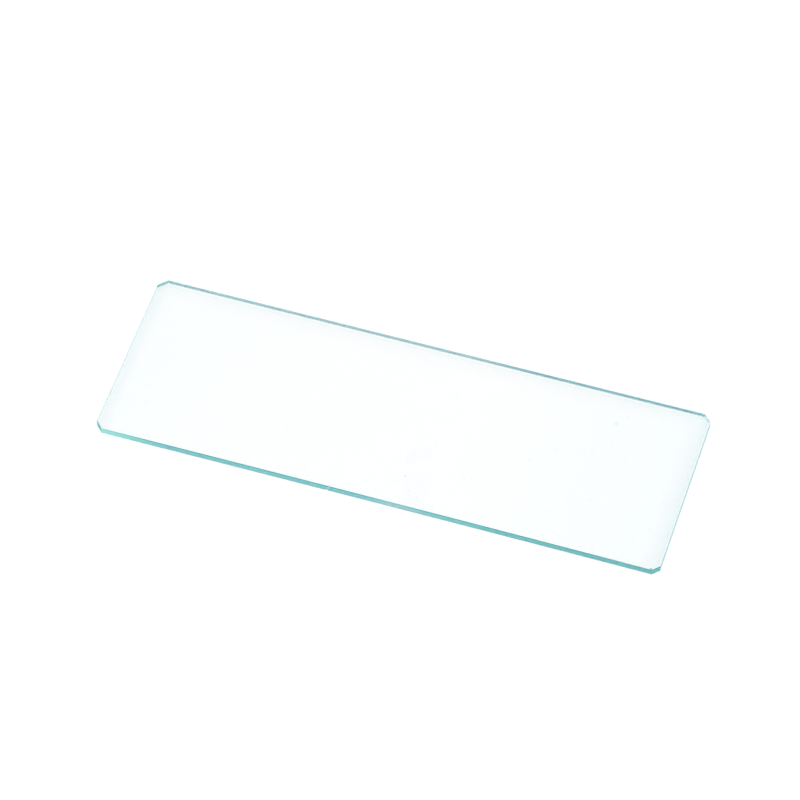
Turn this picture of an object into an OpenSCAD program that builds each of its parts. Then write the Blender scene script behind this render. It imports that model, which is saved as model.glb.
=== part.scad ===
// Microscope slide: one flat plate of clear glass, polished on both faces.
// Its long sides, its ends and its four clipped corners are ground, and a
// fine bevel is ground along every edge above and below.
// X runs along the slide, Y across it and Z up through the glass.
// The origin is at the middle of the underside.

/* [Plate] */
// Length of the slide
slide_l = 76.2; // [50:0.1:100]
// Width of the slide
slide_w = 25.4; // [15:0.1:52]
// Thickness of the glass
glass_t = 1.15; // [0.8:0.05:1.5]

/* [Ground edges] */
// Leg of the fine bevel along the edges of both faces
bevel = 0.08; // [0.04:0.01:0.2]
// Leg of the clip across the front left corner
clip_front_left = 0.95; // [0.4:0.01:2]
// Leg of the clip across the front right corner
clip_front_right = 0.87; // [0.4:0.01:2]
// Leg of the clip across the back right corner
clip_back_right = 1; // [0.4:0.01:2]
// Leg of the clip across the back left corner
clip_back_left = 1.12; // [0.4:0.01:2]

/* [Wear] */
// Slanted nick in the front side, from the middle of the slide
nick_x = -6.05; // [-20:0.05:20]
// Radius of the nick's round bottom
nick_r = 0.22; // [0.1:0.01:0.5]
// How deep the nick bites into the front side
nick_depth = 0.1; // [0.05:0.01:0.2]
// Lean of the nick away from upright
nick_lean = 20; // [0:1:45]
// Length of the small flakes lost from the lower front edge
flake_l = 0.34; // [0.2:0.01:0.8]
// Depth of those flakes, from where the unbevelled edge would be
flake_depth = 0.13; // [0.1:0.01:0.2]
// Length of the flake lost at the front right corner
corner_flake_l = 0.6; // [0.3:0.01:1]
// Depth of that flake
corner_flake_depth = 0.17; // [0.1:0.01:0.25]

/* [Hidden] */
$fn = 48;

half_l = slide_l / 2;
half_w = slide_w / 2;
// Small flakes along the lower front edge, each by its distance from the left end
FLAKES_FROM_LEFT = [1.4, 3.6, 4.7];
// How far a cutter runs past the glass
over = glass_t;

// The outline of the plate, anticlockwise from the front left
OUTLINE = [
    [-half_l + clip_front_left, -half_w],
    [half_l - clip_front_right, -half_w],
    [half_l, -half_w + clip_front_right],
    [half_l, half_w - clip_back_right],
    [half_l - clip_back_right, half_w],
    [-half_l + clip_back_left, half_w],
    [-half_l, half_w - clip_back_left],
    [-half_l, -half_w + clip_front_left]
];

// Radius of the ball that lifts a flake of a given length and depth
function scoop_r(length, depth) = (length * length / 4 + depth * depth) / (2 * depth);

// The wheel's cut along one side of the outline, from corner a to corner b
module side_bevel(a, b) {
    run = b - a;
    translate(a)
        rotate([0, 0, atan2(run.y, run.x)])
            translate([-over, 0, 0])
                rotate([90, 0, 90])
                    linear_extrude(norm(run) + 2 * over)
                        polygon([[-over, -over], [bevel + over, -over], [-over, bevel + over]]);
}

// The bevels around the underside
module face_bevels() {
    for (i = [0 : len(OUTLINE) - 1])
        side_bevel(OUTLINE[i], OUTLINE[(i + 1) % len(OUTLINE)]);
}

// A shell-shaped flake lost from a front edge: up is 1 at the top face, -1 at the underside
module flake(x, up, length, depth) {
    r = scoop_r(length, depth);
    out = (r - depth) / sqrt(2);
    translate([x, -half_w - out, (up + 1) / 2 * glass_t + up * out])
        sphere(r);
}

// The slanted nick down the front side
module nick() {
    translate([nick_x, -half_w - nick_r + nick_depth, glass_t / 2])
        rotate([0, nick_lean, 0])
            cylinder(h = 2 * glass_t, r = nick_r, center = true);
}

module glass_slide() {
    color([0.78, 0.91, 0.92, 0.45])
    difference() {
        linear_extrude(glass_t)
            polygon(OUTLINE);
        face_bevels();
        translate([0, 0, glass_t])
            mirror([0, 0, 1])
                face_bevels();
        nick();
        for (d = FLAKES_FROM_LEFT)
            flake(-half_l + d, -1, flake_l, flake_depth);
        flake(half_l - clip_front_right, 1, corner_flake_l, corner_flake_depth);
    }
}

glass_slide();
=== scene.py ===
import math

import bmesh
import bpy
from mathutils import Matrix, Vector, noise


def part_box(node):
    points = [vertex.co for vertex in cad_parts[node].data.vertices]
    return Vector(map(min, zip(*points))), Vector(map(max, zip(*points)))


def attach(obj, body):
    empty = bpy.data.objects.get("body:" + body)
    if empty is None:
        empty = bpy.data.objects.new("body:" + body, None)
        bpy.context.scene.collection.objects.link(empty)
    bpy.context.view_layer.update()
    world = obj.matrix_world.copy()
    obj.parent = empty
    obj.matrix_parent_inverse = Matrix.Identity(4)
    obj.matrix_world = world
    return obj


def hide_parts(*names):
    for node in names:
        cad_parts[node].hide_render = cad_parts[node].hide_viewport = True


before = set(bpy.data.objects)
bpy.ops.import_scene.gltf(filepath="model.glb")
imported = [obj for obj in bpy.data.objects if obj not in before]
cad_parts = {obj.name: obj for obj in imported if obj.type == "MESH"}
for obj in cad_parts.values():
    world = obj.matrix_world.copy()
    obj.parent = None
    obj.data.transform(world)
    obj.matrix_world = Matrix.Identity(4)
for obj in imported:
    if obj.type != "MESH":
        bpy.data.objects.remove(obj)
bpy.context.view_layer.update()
mm = 0.001
slideLow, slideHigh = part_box("glass_slide")
print("frame loaded, slide", [round(v / mm, 2) for v in slideHigh - slideLow], "mm")


# one output socket; sums written with it add Math nodes to its material
class Val:
    def __init__(self, recipe, socket):
        self.recipe = recipe
        self.socket = socket

    def math(self, operation, first, second):
        return self.recipe.node("Math", {"operation": operation}, {0: first, 1: second})

    def __add__(self, other):
        return self.math("ADD", self, other)

    def __radd__(self, other):
        return self.math("ADD", other, self)

    def __sub__(self, other):
        return self.math("SUBTRACT", self, other)

    def __rsub__(self, other):
        return self.math("SUBTRACT", other, self)

    def __mul__(self, other):
        return self.math("MULTIPLY", self, other)

    def __rmul__(self, other):
        return self.math("MULTIPLY", other, self)

    def __truediv__(self, other):
        return self.math("DIVIDE", self, other)

    def __rtruediv__(self, other):
        return self.math("DIVIDE", other, self)

    def __pow__(self, other):
        return self.math("POWER", self, other)

    def __rpow__(self, other):
        return self.math("POWER", other, self)


# a material's node tree and the few ways of adding to it
class Recipe:
    def __init__(self, tree):
        self.tree = tree
        self.tree.nodes.clear()

    # out is an output's number or name, or several of them
    def node(self, kind, settings=None, sockets=None, out=0):
        made = self.tree.nodes.new("ShaderNode" + kind)
        for name, value in (settings or {}).items():
            if name == "stops":
                self.setStops(made.color_ramp, value)
            else:
                setattr(made, name, value)
        for name, value in (sockets or {}).items():
            if isinstance(value, Val):
                self.tree.links.new(value.socket, made.inputs[name])
            else:
                made.inputs[name].default_value = value
        if isinstance(out, tuple):
            return [Val(self, made.outputs[name]) for name in out]
        return Val(self, made.outputs[out]) if made.outputs else made

    def setStops(self, ramp, stops):
        while len(ramp.elements) < len(stops):
            ramp.elements.new(1.0)
        for element, (place, colour) in zip(ramp.elements, stops):
            element.position = place
            element.color = rgba(colour)

    # 0 at the first value, 1 at the second, smooth between
    def ramp(self, value, start, end):
        return self.node("MapRange", {"interpolation_type": "SMOOTHSTEP"},
                         {"Value": value, "From Min": start, "From Max": end})

    def larger(self, first, second):
        return self.node("Math", {"operation": "MAXIMUM"}, {0: first, 1: second})

    def mixColour(self, share, first, second, blend="MIX"):
        return self.node("Mix", {"data_type": "RGBA", "blend_type": blend},
                         {0: share, 6: first, 7: second}, out=2)

    def noise(self, place, scale, detail=2.0, roughness=0.5):
        return self.node("TexNoise", {"noise_dimensions": "3D"},
                         {"Vector": place, "Scale": scale, "Detail": detail, "Roughness": roughness})


def newMaterial(name):
    material = bpy.data.materials.new(name)
    material.use_nodes = True
    return material, Recipe(material.node_tree)


def rgba(colour):
    return (*colour, 1.0)


plate = {
    "bevelAcross": 0.085 * mm,  # the fine bevel along both faces, across the face and down the side
    "bevelDown": 0.06 * mm,
    "bevelCrown": (0.49, 0.4),  # middle of the bevel, as shares of the two
    "clips": (0.95 * mm, 0.87 * mm, 1.0 * mm, 1.12 * mm),  # front left, front right, back right, back left
    "coarseStep": 0.2 * mm,  # spacing of points along the ground sides
    "fineStep": 0.02 * mm,  # the same beside a nick or a flake
    "sideWander": 0.005 * mm,  # how far the wheel wandered into the sides
    "bevelWander": 0.008 * mm,  # and across the bevels
    "frontHollow": 0.085 * mm,  # the front side was ground slightly hollow
    "rowShares": (0.0, 0.014, 0.03, 0.05, 0.08, 0.12, 0.19, 0.29, 0.4, 0.5),  # rows up half of a side
    "cornerCalm": 0.7 * mm,  # nearer to a corner than this the wander dies away
    "cornerFine": 0.4 * mm,  # fine points lie this far round the front right corner
    "flakeMargin": 0.62,  # fine points reach this far from a flake's middle, as a share of its length
    "sideWaves": 0.35,  # waves of the sides per mm, and how much fewer run up a side
    "bevelWaves": (0.55, 2.7),  # slow and quick waves of the bevels per mm
    "quickShare": 0.35,  # share of the quick ones
    "sideSeed": 3.1,  # places in the noise
    "bevelSeeds": (7.7, 19.3),  # of the lower and the upper bevels
    "waveSeeds": (1.3, 5.9),  # of their slow and their quick waves
    "sharpAngle": 25,  # edges that turn by more than this many degrees stay sharp
    "capStep": 8,  # border points that share one inner point
    "capBorder": 1.4 * mm,  # width of the fans round a polished face
}

# shell-shaped flakes lost from the front edges: place along, 1 top or -1 underside, length, depth
flakes = (
    (-36.7 * mm, -1, 0.34 * mm, 0.13 * mm),
    (-34.5 * mm, -1, 0.34 * mm, 0.13 * mm),
    (-33.4 * mm, -1, 0.30 * mm, 0.125 * mm),
    (37.1 * mm, 1, 0.45 * mm, 0.14 * mm),
)

nick = {
    "topX": -5.93 * mm,  # middle of the nick at the top of the side
    "lean": 0.27,  # how far it runs left for each step down
    "flare": 0.12 * mm,  # and further left near its foot
    "footStart": 0.7 * mm,  # where its foot starts, below the top, and how soon it is full
    "footRun": 0.3 * mm,
    "topWidth": 0.11 * mm,  # half widths
    "footWidth": 0.24 * mm,
    "evenWidening": 0.35,  # share of the widening that comes evenly on the way down
    "depth": 0.07 * mm,
    "leastDepth": 0.006 * mm,  # what is shallower stays ground
    "hollow": 0.8,  # below 1 its bottom is wider and its edges steeper
    "ripple": 0.12,
    "rippleWaves": (9, 3),  # down the side and across the nick
    "reach": 0.5 * mm,  # it lies within this distance of the front
    "fineMiddle": -0.25 * mm,  # fine points round it, from its top
    "fineReach": 0.6 * mm,
}

# how each side was ground, in order round the outline from the front left corner
# grit is its roughness, stain how far its colour also tints the light that passes through it
# ground gives, by share of the side's length, the share of light that it scatters, that light's
# colour and how far the top and the foot of the side darken, which is painted shade
# topBevel and footBevel are the bevels along it: roughness, share and colour
# the colours are the teal of the ground glass with painted light and shade in them, lighter or
# darker from side to side and along each side as the light falls on it
# flatFoot is how much flatter the foot bevel is than the others
sides = (
    {"grit": 0.4, "stain": 0.0, "flatFoot": 0.0,  # front
     "ground": ((0.0, 0.95, (0.42, 0.88, 0.85), 0.3), (0.053, 0.85, (0.34, 0.86, 0.8), 0.65),
                (0.09, 0.65, (0.33, 0.82, 0.8), 1.0), (0.126, 0.5, (0.25, 0.78, 0.79), 1.0),
                (0.454, 0.5, (0.25, 0.78, 0.79), 1.0), (0.49, 0.5, (0.3, 0.8, 0.81), 0.9),
                (0.526, 0.6, (0.48, 0.8, 0.85), 0.7), (0.562, 0.6, (0.48, 0.8, 0.85), 0.8),
                (0.6, 0.5, (0.32, 0.79, 0.79), 1.0), (0.635, 0.5, (0.24, 0.79, 0.77), 1.0),
                (0.745, 0.5, (0.21, 0.74, 0.73), 1.0), (0.89, 0.5, (0.18, 0.68, 0.68), 0.8),
                (1.0, 0.5, (0.16, 0.66, 0.67), 0.5)),
     "topBevel": (0.35, 0.0, (0.5, 0.9, 0.9)), "footBevel": (0.35, 0.5, (0.3, 0.8, 0.8))},
    {"grit": 0.35, "stain": 0.0, "flatFoot": 0.0,  # front right clip
     "ground": ((0.0, 0.5, (0.28, 0.82, 0.78), 1.0), (1.0, 0.5, (0.28, 0.82, 0.78), 1.0)),
     "topBevel": (0.35, 0.1, (0.4, 0.85, 0.87)), "footBevel": (0.35, 0.5, (0.3, 0.8, 0.8))},
    {"grit": 0.25, "stain": 0.0, "flatFoot": 0.4,  # right end
     "ground": ((0.0, 0.62, (0.38, 0.95, 1.0), 0.0), (1.0, 0.6, (0.47, 0.9, 0.95), 0.0)),
     "topBevel": (0.3, 0.2, (0.8, 1.0, 1.0)), "footBevel": (0.2, 0.3, (0.8, 0.95, 1.0))},
    {"grit": 0.3, "stain": 0.6, "flatFoot": 0.8,  # back right clip
     "ground": ((0.0, 0.22, (0.3, 1.0, 1.0), 0.0), (1.0, 0.28, (0.2, 1.0, 1.0), 0.0)),
     "topBevel": (0.3, 0.5, (0.5, 0.9, 1.0)), "footBevel": (0.12, 0.0, (0.8, 0.95, 1.0))},
    {"grit": 0.4, "stain": 0.0, "flatFoot": 0.4,  # back
     "ground": ((0.0, 0.6, (0.16, 0.8, 0.94), 0.0), (0.03, 0.68, (0.1, 0.78, 0.88), 0.0),
                (0.32, 0.68, (0.1, 0.78, 0.88), 0.0), (0.41, 0.5, (0.26, 0.76, 0.84), 0.0),
                (0.97, 0.5, (0.24, 0.76, 0.83), 0.0), (1.0, 0.5, (0.22, 0.82, 0.84), 0.0)),
     "topBevel": (0.35, 0.75, (0.2, 0.64, 0.73)), "footBevel": (0.12, 0.15, (0.4, 0.95, 1.0))},
    {"grit": 0.3, "stain": 0.5, "flatFoot": 0.75,  # back left clip
     "ground": ((0.0, 0.42, (0.08, 1.0, 0.9), 0.0), (1.0, 0.55, (0.05, 0.95, 0.8), 0.0)),
     "topBevel": (0.35, 0.85, (0.1, 0.9, 0.8)), "footBevel": (0.12, 0.1, (0.9, 1.0, 1.0))},
    {"grit": 0.14, "stain": 0.3, "flatFoot": 0.65,  # left end
     "ground": ((0.0, 0.06, (0.3, 1.0, 1.0), 0.0), (1.0, 0.06, (0.3, 1.0, 1.0), 0.0)),
     "topBevel": (0.2, 0.4, (0.75, 1.0, 1.0)), "footBevel": (0.12, 0.0, (0.95, 1.0, 1.0))},
    {"grit": 0.35, "stain": 0.0, "flatFoot": 0.0,  # front left clip
     "ground": ((0.0, 0.5, (0.3, 0.8, 0.82), 0.2), (0.3, 0.8, (0.06, 0.58, 0.61), 0.5),
                (1.0, 0.8, (0.06, 0.58, 0.61), 0.5)),
     "topBevel": (0.35, 0.6, (0.08, 0.5, 0.54)), "footBevel": (0.35, 0.5, (0.3, 0.8, 0.8))},
)
nickFinish = (0.3, 0.6, (0.62, 0.86, 0.95), 0.0, 0.0)  # grit, share, colour, line, stain
flakeFinish = (0.15, 0.7, (0.05, 0.45, 0.47), 0.0, 0.0)
faceFinish = (0.0, 0.0, (0.78, 0.84, 0.87), 0.0, 0.0)  # polished; the colour is that of dust on it


def outlineCorners():
    left, right = slideLow.x, slideHigh.x
    front, back = slideLow.y, slideHigh.y
    frontLeft, frontRight, backRight, backLeft = plate["clips"]
    return [Vector(c) for c in (
        (left + frontLeft, front), (right - frontRight, front),
        (right, front + frontRight), (right, back - backRight),
        (right - backRight, back), (left + backLeft, back),
        (left, back - backLeft), (left, front + frontLeft))]


def inwardNormals(corners):
    normals = []
    for start, end in zip(corners, corners[1:] + corners[:1]):
        run = (end - start).normalized()
        normals.append(Vector((-run.y, run.x)))
    return normals


# the outline moved in by the same distance on every side
def insetCorners(corners, inset):
    normals = inwardNormals(corners)
    moved = []
    for i, corner in enumerate(corners):
        before, after = normals[i - 1], normals[i]
        moved.append(corner + (before + after) * inset / (1 + before.dot(after)))
    return moved


# shares along one side of the outline at which it gets a point
def sideShares(start, end, fineSpots):
    run = end - start
    length = run.length
    count = max(4, round(length / plate["coarseStep"]))
    places = [length * i / count for i in range(count)]
    for spot, reach in fineSpots:
        middle = (spot - start).dot(run) / length
        if abs((spot - start).cross(run)) / length > plate["coarseStep"]:
            continue  # the spot is on another side
        low, high = max(0.0, middle - reach), min(length, middle + reach)
        if high <= low:
            continue
        places = [p for p in places if p <= low or p >= high]
        steps = round((high - low) / plate["fineStep"])
        places += [low + (high - low) * i / steps for i in range(1, steps)]
    return sorted(set(p / length for p in places))


def smoothStep(value):
    value = min(1.0, max(0.0, value))
    return value * value * (3 - 2 * value)


# height rows of the rim, from the underside to the top: inset, height and kind
def rimRows():
    thick = slideHigh.z - slideLow.z
    across, down = plate["bevelAcross"], plate["bevelDown"]
    crownAcross, crownDown = plate["bevelCrown"]
    low = [(across, 0.0, "face"), (crownAcross * across, crownDown * down, "bevel")]
    half = [down + share * (thick - 2 * down) for share in plate["rowShares"]]
    side = half + [thick - z for z in reversed(half[:-1])]
    rows = low + [(0.0, z, "side") for z in side]
    rows += [(inset, thick - z, kind) for inset, z, kind in reversed(low)]
    return [(inset, slideLow.z + z, kind) for inset, z, kind in rows]


# inward depth of the slanted nick at a place on the front side
def nickDepth(x, z):
    down = slideHigh.z - z
    foot = smoothStep((down - nick["footStart"]) / nick["footRun"])
    middle = nick["topX"] - nick["lean"] * down - nick["flare"] * foot
    widening = nick["evenWidening"] * down / mm + (1 - nick["evenWidening"]) * foot
    width = nick["topWidth"] + (nick["footWidth"] - nick["topWidth"]) * widening
    across = (x - middle) / width
    wavesDown, wavesAcross = nick["rippleWaves"]
    ripple = nick["ripple"] * math.sin(wavesDown * down / mm + wavesAcross * across)
    return nick["depth"] * max(0.0, 1 - across * across) ** nick["hollow"] * (1 + ripple)


# moves one point of the rim in to the surface that a nick or a flake left, and tells which
def carve(point, hollow):
    carved = None
    if point.y < slideLow.y + nick["reach"]:
        bottom = slideLow.y + hollow + nickDepth(point.x, point.z)
        if bottom > point.y + nick["leastDepth"]:
            point.y = bottom
            carved = "nick"
    for x, up, length, depth in flakes:
        radius = (length * length / 4 + depth * depth) / (2 * depth)
        out = (radius - depth) / math.sqrt(2)
        edge = slideHigh.z if up > 0 else slideLow.z
        centre = Vector((x, slideLow.y - out, edge + up * out))
        flat = radius ** 2 - (point.x - centre.x) ** 2 - (point.z - centre.z) ** 2
        if flat <= 0 or (point - centre).length >= radius:
            continue
        point.y = centre.y + math.sqrt(flat)
        carved = "flake"
    return carved


# share of scattered light, its colour with painted light and shade, and the painted darkening at a share
# of a side's length
def groundAt(side, share):
    stops = side["ground"]
    k = max(n for n in range(len(stops) - 1) if stops[n][0] <= share)
    (start, frost, colour, line), (end, nextFrost, nextColour, nextLine) = stops[k:k + 2]
    t = (share - start) / (end - start)
    tint = Vector(colour).lerp(Vector(nextColour), t)
    return frost + t * (nextFrost - frost), tint, line + t * (nextLine - line)


def finishOf(kind, sideIndex, share):
    side = sides[sideIndex]
    if kind == "nick":
        return nickFinish
    if kind == "flake":
        return flakeFinish
    if kind == "side":
        frost, colour, line = groundAt(side, share)
        return side["grit"], frost, colour, line, side["stain"]
    return (*side[kind], 0.0, 0.0)


# how flat the foot bevel is: the mean of both sides at a corner, the side's own where calm is 1
def flatAt(i, share, calm):
    own = sides[i]["flatFoot"]
    beside = sides[i - 1] if share < 0.5 else sides[(i + 1) % len(sides)]
    corner = (own + beside["flatFoot"]) / 2
    return corner + calm * (own - corner)


def setFinish(face, layers, finish):
    grit, frost, colour, line, stain = finish
    for layer, value in zip(layers, (grit, frost, rgba(colour), line, stain)):
        face[layer] = value


# how far the wheel stood inside the outline at a distance round it
def sideWander(run, z):
    waves = plate["sideWaves"]
    place = Vector((run / mm, waves * z / mm, plate["sideSeed"]))
    return plate["sideWander"] * (0.5 + 0.5 * noise.noise(place * waves))


# the same across the bevels, with the lower and the upper ones apart
def bevelSwing(run, z):
    lowSeed, highSeed = plate["bevelSeeds"]
    level = lowSeed if z < slideHigh.z / 2 else highSeed
    slowWaves, quickWaves = plate["bevelWaves"]
    slowSeed, quickSeed = plate["waveSeeds"]
    slow = noise.noise(Vector((run / mm * slowWaves, level, slowSeed)))
    quick = noise.noise(Vector((run / mm * quickWaves, level, quickSeed)))
    return plate["bevelWander"] * ((1 - plate["quickShare"]) * slow + plate["quickShare"] * quick)


# one polished face: fans of flat triangles round its border and one wide fan inside them
def closeFace(mesh, ring, path, corners, up):
    inner = insetCorners(corners, plate["bevelAcross"] + plate["capBorder"])
    step = plate["capStep"]
    z = ring[0].co.z
    keep = [n for n, (i, share, run) in enumerate(path) if share == 0.0]
    stops = []
    for n, first in enumerate(keep):
        last = keep[n + 1] if n + 1 < len(keep) else len(path)
        stops += list(range(first, last - step // 2, step)) or [first]
    innerVerts = []
    for n in stops:
        i, share, run = path[n]
        flat = inner[i].lerp(inner[(i + 1) % len(inner)], share)
        innerVerts.append(mesh.verts.new((flat.x, flat.y, z)))
    centre = mesh.verts.new((0.0, 0.0, z))
    made = []
    for k, n in enumerate(stops):
        nextStop = stops[(k + 1) % len(stops)]
        last = nextStop if nextStop > n else len(path)
        outer = [ring[m % len(path)] for m in range(n, last + 1)]
        near, far = innerVerts[k], innerVerts[(k + 1) % len(stops)]
        fan = [(one, two, near) for one, two in zip(outer, outer[1:])]
        fan += [(outer[-1], far, near), (near, far, centre)]
        made += [mesh.faces.new(three if up else three[::-1]) for three in fan]
    return made


def buildPlate():
    corners = outlineCorners()
    normals = inwardNormals(corners)
    front = slideLow.y
    fineSpots = [(Vector((nick["topX"] + nick["fineMiddle"], front)), nick["fineReach"])]
    fineSpots += [(Vector((x, front)), plate["flakeMargin"] * length) for x, up, length, depth in flakes]
    fineSpots.append((corners[1], plate["cornerFine"]))
    path = []  # side index, share along it, distance round the outline
    travelled = 0.0
    for i, start in enumerate(corners):
        end = corners[(i + 1) % len(corners)]
        for share in sideShares(start, end, fineSpots):
            path.append((i, share, travelled + share * (end - start).length))
        travelled += (end - start).length

    mesh = bmesh.new()
    layers = [mesh.faces.layers.float.new("grit"), mesh.faces.layers.float.new("frost"),
              mesh.faces.layers.float_color.new("tint"), mesh.faces.layers.float.new("line"),
              mesh.faces.layers.float.new("stain")]
    footTop = slideLow.z + 1.01 * plate["bevelDown"]  # just above the foot bevel's upper row
    rows = rimRows()
    rings = []
    carvedPoints = {}
    for inset, z, kind in rows:
        ringCorners = insetCorners(corners, inset)
        ring = []
        for i, share, run in path:
            start, end = ringCorners[i], ringCorners[(i + 1) % len(corners)]
            place = start.lerp(end, share)
            calm = smoothStep(min(share, 1 - share) * (end - start).length / plate["cornerCalm"])
            height = z
            if z < footTop:
                height -= flatAt(i, share, calm) * (z - slideLow.z)
            wander = sideWander(run, z)
            if kind == "side":
                wander = max(0.0, wander)
            else:
                wander += bevelSwing(run, z) * inset / plate["bevelAcross"]
            place = place + normals[i] * wander * calm
            hollow = plate["frontHollow"] * 4 * share * (1 - share) if i == 0 else 0.0
            point = Vector((place.x, place.y + hollow, height))
            carved = carve(point, hollow)
            vert = mesh.verts.new(point)
            ring.append(vert)
            if carved:
                carvedPoints[vert] = carved
        rings.append(ring)

    count = len(path)
    middle = (slideLow.z + slideHigh.z) / 2
    for level, (lower, upper) in enumerate(zip(rings, rings[1:])):
        kinds = {rows[level][2], rows[level + 1][2]}
        for i in range(count):
            j = (i + 1) % count
            face = mesh.faces.new((lower[i], lower[j], upper[j], upper[i]))
            face.smooth = True
            carved = [carvedPoints[v] for v in face.verts if v in carvedPoints]
            if len(carved) >= 3:
                kind = carved[0]
            elif kinds != {"side"}:
                kind = "topBevel" if rows[level][1] > middle else "footBevel"
            else:
                kind = "side"
            share = path[i][1]
            if path[j][0] == path[i][0]:
                share = (share + path[j][1]) / 2
            setFinish(face, layers, finishOf(kind, path[i][0], share))
    for ring, up in ((rings[0], False), (rings[-1], True)):
        for face in closeFace(mesh, ring, path, corners, up):
            setFinish(face, layers, faceFinish)

    mesh.normal_update()
    sharpAngle = math.radians(plate["sharpAngle"])
    for edge in mesh.edges:
        one, two = edge.link_faces
        sameGrit = one[layers[0]] == two[layers[0]]
        edge.smooth = sameGrit and one.normal.angle(two.normal, 0.0) < sharpAngle
    made = bpy.data.meshes.new("slideGlass")
    mesh.to_mesh(made)
    mesh.free()
    slide = bpy.data.objects.new("slideGlass", made)
    bpy.context.scene.collection.objects.link(slide)
    return slide


glass = {
    "ior": 1.52,
    "density": 30.0,  # absorption per metre of its strongest colour
    "absorbed": (1.0, 0.383, 0.35),  # share of that density for red, green and blue
    "paintedLightAndDirt": (0.01 * mm, 0.02 * mm),  # the top face's painted light and shade, and its dirt, start and end this far below it
}

ground = {
    "lineDepth": 0.23 * mm,  # painted shade: a darker line along the top of the front side
    "paintedLineShade": (0.0, 0.62, 0.66),
    "lineFrost": 0.5,  # more light is scattered there
    # painted shade: a darker line along the foot of the side
    "footDepth": 0.1 * mm,
    "paintedFootShade": (0.5, 0.8, 0.82),
    "footFrost": 0.1,
    "lineSoft": 0.05 * mm,
    "streakLength": 2.5 * mm,  # marks that the wheel left
    "streakHeight": 0.06 * mm,
    "streakTone": 0.08,
    "streakGrit": 0.25,  # how far the marks change the roughness
    "grainSize": 0.05 * mm,
    "grainTone": 0.12,
    "grainGrit": 0.15,
    "bump": 0.0015 * mm,
    "bumpStrength": 6.0,  # for a grit of 1, less by its square
    "roughness": 0.5,  # of the share that scatters light
    "ior": 1.5,
}

# painted bands on the top face beside its edges: edge, where the band starts and ends, how it falls off
# and its colour; the wide ones are painted shade, the shadow under the glass near its edges, and
# the narrow ones are painted in the colours that the ground sides show through the glass
paintedEdgeBands = (
    ("left", 0.38 * mm, 3.0 * mm, 1.4, (0.87, 0.915, 0.922)),
    ("right", 0.15 * mm, 3.1 * mm, 1.5, (0.83, 0.89, 0.903)),
    ("back", 0.87 * mm, 3.3 * mm, 1.1, (0.932, 0.948, 0.958)),
    ("left", 0.06 * mm, 0.26 * mm, 0.3, (0.58, 0.86, 0.87)),
    ("back", 0.06 * mm, 0.52 * mm, 0.3, (0.66, 0.98, 0.99)),
    ("backLeft", 0.06 * mm, 0.52 * mm, 0.3, (0.38, 0.86, 0.8)),
    ("backRight", 0.05 * mm, 0.46 * mm, 0.2, (0.62, 0.93, 1.0)),
)
paintedBandSoft = 0.15  # how softly each starts, as a share of its start

# painted light and shade along the length of the top face: lighter in the middle, darker toward the ends,
# most at the right
paintedLengthLight = ((0.0, (0.928, 0.942, 0.95)), (0.1, (0.951, 0.944, 0.951)), (0.3, (0.966, 0.948, 0.952)),
         (0.6, (0.976, 0.95, 0.953)), (0.8, (0.946, 0.943, 0.951)), (0.9, (0.921, 0.936, 0.948)),
         (1.0, (0.893, 0.933, 0.946)))

# marks on the top face
marks = {
    # a dried smear: middle and half sizes of the blots it is made of, in mm
    "smear": ((2.9, -4.9, 1.0, 1.5), (4.3, -4.2, 1.2, 1.3), (4.3, -8.3, 1.6, 1.5), (5.8, -8.3, 1.0, 1.6),
              (5.1, -10.6, 1.5, 1.6), (6.8, -11.9, 1.5, 0.7)),
    "smearColour": (0.974, 0.977, 0.99),
    "smearEdge": (-0.1, 0.3),  # how softly it ends
    "smearRagged": 1.6,  # how ragged its outline is, and how finely
    "smearScale": 900.0,
    # rings left by dried droplets: middle and radius, in mm
    "drops": ((26.53, 7.8, 0.36), (27.78, 9.2, 0.13), (2.95, -8.2, 0.16), (4.1, -10.3, 0.1),
              (11.3, 11.9, 0.1)),
    "dropColour": (0.75, 0.87, 0.9),
    "faintDrops": ((28.3, 6.1, 0.45), (20.2, 1.4, 0.4), (35.4, -7.0, 0.5), (-1.1, -8.8, 0.4),
                   (5.5, 5.7, 0.45), (-13.7, 10.1, 0.4), (-18.0, 0.2, 0.35), (-24.0, 6.9, 0.5),
                   (-33.1, 0.0, 0.45), (-33.4, -4.6, 0.5), (-31.4, -6.3, 0.5), (-35.5, -9.5, 0.4)),
    "faintColour": (0.972, 0.98, 0.982),
    "dropEdge": 0.75,  # where the rim starts to fade, as a share of the radius
    "dropRim": (0.15, 0.5),  # where the pale middle ends
    "dropMiddle": 0.55,  # strength of the middle
    "dustCell": 2.4 * mm,
    "dustSize": 0.07 * mm,
    "dustKept": 0.3,  # share of the cells that hold a speck
    "dustShare": 0.5,  # how far a speck hides the glass
}


# how far a place is into the darker lines, painted shade, along the top and the foot of a side
def lineShares(recipe, z):
    line = recipe.node("Attribute", {"attribute_name": "line"}, out="Fac")
    top = slideHigh.z - plate["bevelDown"] - ground["lineDepth"]
    foot = slideLow.z + plate["bevelDown"] + ground["footDepth"]
    soft = ground["lineSoft"]
    topLine = recipe.ramp(z, top - soft, top + soft) * line
    footLine = recipe.ramp(z, foot + soft, foot - soft) * line
    return topLine, footLine


def groundColour(recipe, tint, lines):
    topLine, footLine = lines
    colour = recipe.mixColour(topLine, tint, rgba(ground["paintedLineShade"]), "MULTIPLY")
    return recipe.mixColour(footLine, colour, rgba(ground["paintedFootShade"]), "MULTIPLY")


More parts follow.
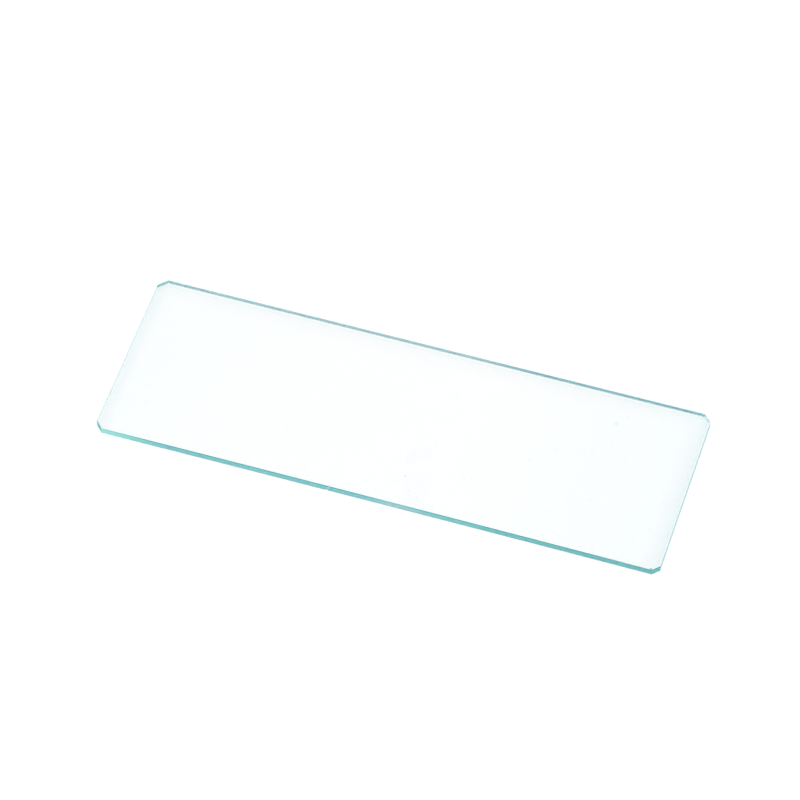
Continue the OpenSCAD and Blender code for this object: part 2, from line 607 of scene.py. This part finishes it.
# long fine marks round the sides, and the grain of the ground surface
def groundRelief(recipe, place):
    stretch = (1 / ground["streakLength"], 1 / ground["streakLength"], 1 / ground["streakHeight"])
    stretched = recipe.node("VectorMath", {"operation": "MULTIPLY"}, {0: place, 1: stretch})
    streaks = recipe.noise(stretched, 1.0, 3.0, 0.6) - 0.5
    grain = recipe.noise(place, 1 / ground["grainSize"], 2.0, 0.6) - 0.5
    return streaks, grain


# 1 just inside a painted band's start, falling off to 0 where it ends
def paintedBandShare(recipe, distance, start, reach, fall):
    left = (reach - distance) / (reach - start)
    held = recipe.node("Math", {"operation": "MAXIMUM", "use_clamp": True}, {0: left, 1: 0.0})
    soft = paintedBandSoft * start
    return recipe.ramp(distance, start - soft, start + soft) * held ** fall


def smearShare(recipe, place, x, y):
    field = None
    for middleX, middleY, halfX, halfY in marks["smear"]:
        across = (x - middleX * mm) / (halfX * mm)
        along = (y - middleY * mm) / (halfY * mm)
        blot = 1 - across ** 2 - along ** 2
        field = blot if field is None else recipe.larger(field, blot)
    ragged = recipe.noise(place, marks["smearScale"], 4.0, 0.6) - 0.5
    return recipe.ramp(field + marks["smearRagged"] * ragged, *marks["smearEdge"])


def dropShare(recipe, x, y, drops):
    rimStart, rimEnd = marks["dropRim"]
    middle = marks["dropMiddle"]
    total = None
    for middleX, middleY, radius in drops:
        reach = radius * mm
        offX, offY = x - middleX * mm, y - middleY * mm
        distance = (offX ** 2 + offY ** 2) ** 0.5
        disc = recipe.ramp(distance, reach, marks["dropEdge"] * reach)
        ring = disc * (middle + (1 - middle) * recipe.ramp(distance, rimStart * reach, rimEnd * reach))
        total = ring if total is None else recipe.larger(total, ring)
    return total


def dustShare(recipe, place):
    distance, chance = recipe.node(
        "TexVoronoi", {"voronoi_dimensions": "2D"},
        {"Vector": place, "Scale": 1 / marks["dustCell"]}, out=("Distance", "Color"))
    pick = recipe.node("SeparateColor", {}, {0: chance})
    size = marks["dustSize"] / marks["dustCell"] * (0.5 + pick)  # specks differ in size
    kept = recipe.ramp(pick, marks["dustKept"], marks["dustKept"] - 0.01)
    return recipe.ramp(distance, size, 0.5 * size) * kept * marks["dustShare"]


def glassMaterial():
    material, recipe = newMaterial("slideGlass")
    place = recipe.node("TexCoord", out="Object")
    x, y, z = recipe.node("SeparateXYZ", {}, {0: place}, out=(0, 1, 2))
    grit, frost, stain = (recipe.node("Attribute", {"attribute_name": name}, out="Fac")
                          for name in ("grit", "frost", "stain"))
    topStart, topEnd = glass["paintedLightAndDirt"]
    topFace = recipe.ramp(z, slideHigh.z - topEnd, slideHigh.z - topStart)
    streaks, grain = groundRelief(recipe, place)

    # painted light and shade along the length, then the painted bands along the edges, then the dirt
    paintedLightAndDirt = recipe.node("ValToRGB", {"stops": paintedLengthLight}, {0: (x - slideLow.x) / (slideHigh.x - slideLow.x)})
    paintedLightAndDirt = recipe.mixColour(topFace, rgba((1, 1, 1)), paintedLightAndDirt)
    distances = {"left": x - slideLow.x, "right": slideHigh.x - x, "back": slideHigh.y - y}
    distances["backRight"] = (distances["right"] + distances["back"] - plate["clips"][2]) / math.sqrt(2)
    distances["backLeft"] = (distances["left"] + distances["back"] - plate["clips"][3]) / math.sqrt(2)
    # painted shade along the left, right and back edges, and the colours of the ground sides painted
    # beside those edges
    shade = rgba((1, 1, 1))
    for edge, start, reach, fall, colour in paintedEdgeBands:
        share = paintedBandShare(recipe, distances[edge], start, reach, fall) * topFace
        shade = recipe.mixColour(share, shade, rgba(colour), "DARKEN")
    paintedLightAndDirt = recipe.mixColour(1.0, paintedLightAndDirt, shade, "MULTIPLY")
    smear = smearShare(recipe, place, x, y) * topFace
    paintedLightAndDirt = recipe.mixColour(smear, paintedLightAndDirt, rgba(marks["smearColour"]), "MULTIPLY")
    for drops, colour in (("drops", "dropColour"), ("faintDrops", "faintColour")):
        share = dropShare(recipe, x, y, marks[drops]) * topFace
        paintedLightAndDirt = recipe.mixColour(share, paintedLightAndDirt, rgba(marks[colour]), "MULTIPLY")
    # the sides' colours, with their painted light and shade, also tint the light that passes through them
    tint = recipe.node("Attribute", {"attribute_name": "tint"}, out="Color")
    paintedLightAndDirt = recipe.mixColour(stain, paintedLightAndDirt, tint)

    roughness = grit * (1 + ground["streakGrit"] * streaks + ground["grainGrit"] * grain)
    normal = recipe.node("Bump", {}, {
        "Strength": ground["bumpStrength"] * grit ** 2, "Distance": ground["bump"],
        "Height": streaks + grain}, out="Normal")
    clear = recipe.node("BsdfPrincipled", {}, {
        "Base Color": paintedLightAndDirt, "Roughness": roughness, "IOR": glass["ior"],
        "Transmission Weight": 1.0, "Normal": normal})
    tone = 1 + ground["streakTone"] * streaks + ground["grainTone"] * grain
    # the sides' scattered colour, with its painted light and shade and the painted shade of its darker
    # lines
    lines = lineShares(recipe, z)
    scattered = recipe.mixColour(1.0, groundColour(recipe, tint, lines), tone, "MULTIPLY")
    scatter = recipe.node("BsdfPrincipled", {}, {
        "Base Color": scattered, "Roughness": ground["roughness"], "IOR": ground["ior"],
        "Normal": normal})
    share = frost + lines[0] * ground["lineFrost"] + lines[1] * ground["footFrost"]
    share = share + dustShare(recipe, place) * topFace
    shader = recipe.node("MixShader", {}, {0: share, 1: clear, 2: scatter})
    passed = tuple(1 - absorbed for absorbed in glass["absorbed"])
    volume = recipe.node("VolumeAbsorption", {}, {"Color": rgba(passed), "Density": glass["density"]})
    recipe.node("OutputMaterial", {}, {"Surface": shader, "Volume": volume})
    return material


slide = buildPlate()
slide.data.materials.append(glassMaterial())
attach(slide, "root")
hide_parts("glass_slide")
print("slide built,", len(slide.data.polygons), "faces")


studio = {
    "floorHalf": 0.6,  # half its width, in metres
    "floorGap": 0.02 * mm,  # air under the slide
    "floorColour": (0.8, 0.8, 0.8),  # pale, as it lights the slide
    "floorSeen": (0.15, 0.15, 0.15),  # its share that shows the shadow, the rest is plain white
    "floorGlow": (0.9, 0.9, 0.9),  # that rest
    "worldColour": (1.0, 1.0, 1.0),
    "worldStrength": 1.0,
}


def buildFloor():
    half = studio["floorHalf"]
    corners = [(-half, -half, 0), (half, -half, 0), (half, half, 0), (-half, half, 0)]
    mesh = bpy.data.meshes.new("studioFloor")
    mesh.from_pydata(corners, [], [(0, 1, 2, 3)])
    floor = bpy.data.objects.new("studioFloor", mesh)
    floor.location.z = slideLow.z - studio["floorGap"]
    bpy.context.scene.collection.objects.link(floor)
    material, recipe = newMaterial("studioFloor")
    camera, glossy, through = recipe.node(
        "LightPath", out=("Is Camera Ray", "Is Glossy Ray", "Is Transmission Ray"))
    direct = recipe.larger(recipe.larger(camera, glossy), through)
    shader = recipe.node("BsdfPrincipled", {}, {
        "Base Color": recipe.mixColour(direct, rgba(studio["floorColour"]), rgba(studio["floorSeen"])),
        "Roughness": 1.0, "Specular IOR Level": 0.0,
        "Emission Color": recipe.mixColour(direct, rgba((0, 0, 0)), rgba(studio["floorGlow"])),
        "Emission Strength": 1.0})
    recipe.node("OutputMaterial", {}, {"Surface": shader})
    mesh.materials.append(material)


def buildWorld():
    world = bpy.data.worlds.new("studio")
    world.use_nodes = True
    recipe = Recipe(world.node_tree)
    light = recipe.node("Background", {}, {
        "Color": rgba(studio["worldColour"]), "Strength": studio["worldStrength"]})
    recipe.node("OutputWorld", {}, {"Surface": light})
    bpy.context.scene.world = world


buildFloor()
buildWorld()
print("floor and light built")


view = {
    "sensor": 36,
    "lens": 192.866,
    "turn": 19.3695,  # degrees, to the right of square on
    "rise": 54.022,
    "roll": -1.72,
    "distance": 557.515 * mm,
    "right": -0.415 * mm,  # from the origin to the middle of the view
    "up": 3.391 * mm,
}


def buildCamera():
    turn, rise, roll = (math.radians(view[name]) for name in ("turn", "rise", "roll"))
    back = Vector((math.sin(turn) * math.cos(rise), -math.cos(turn) * math.cos(rise), math.sin(rise)))
    level = Vector((math.cos(turn), math.sin(turn), 0))
    above = back.cross(level)
    right = math.cos(roll) * level + math.sin(roll) * above
    up = math.cos(roll) * above - math.sin(roll) * level
    data = bpy.data.cameras.new("studioCamera")
    data.lens = view["lens"]
    data.sensor_width = view["sensor"]
    camera = bpy.data.objects.new("studioCamera", data)
    placed = Matrix((right, up, back)).transposed().to_4x4()
    placed.translation = view["right"] * right + view["up"] * up + view["distance"] * back
    camera.matrix_world = placed
    bpy.context.scene.collection.objects.link(camera)
    bpy.context.scene.camera = camera


buildCamera()

scene = bpy.context.scene
scene.view_settings.view_transform = "Standard"
scene.cycles.blur_glossy = 0.0  # keeps the floor bright under the glass
scene.cycles.max_bounces = 64  # light runs the whole width of the glass
scene.cycles.glossy_bounces = 64
scene.cycles.transmission_bounces = 64
print("camera set")
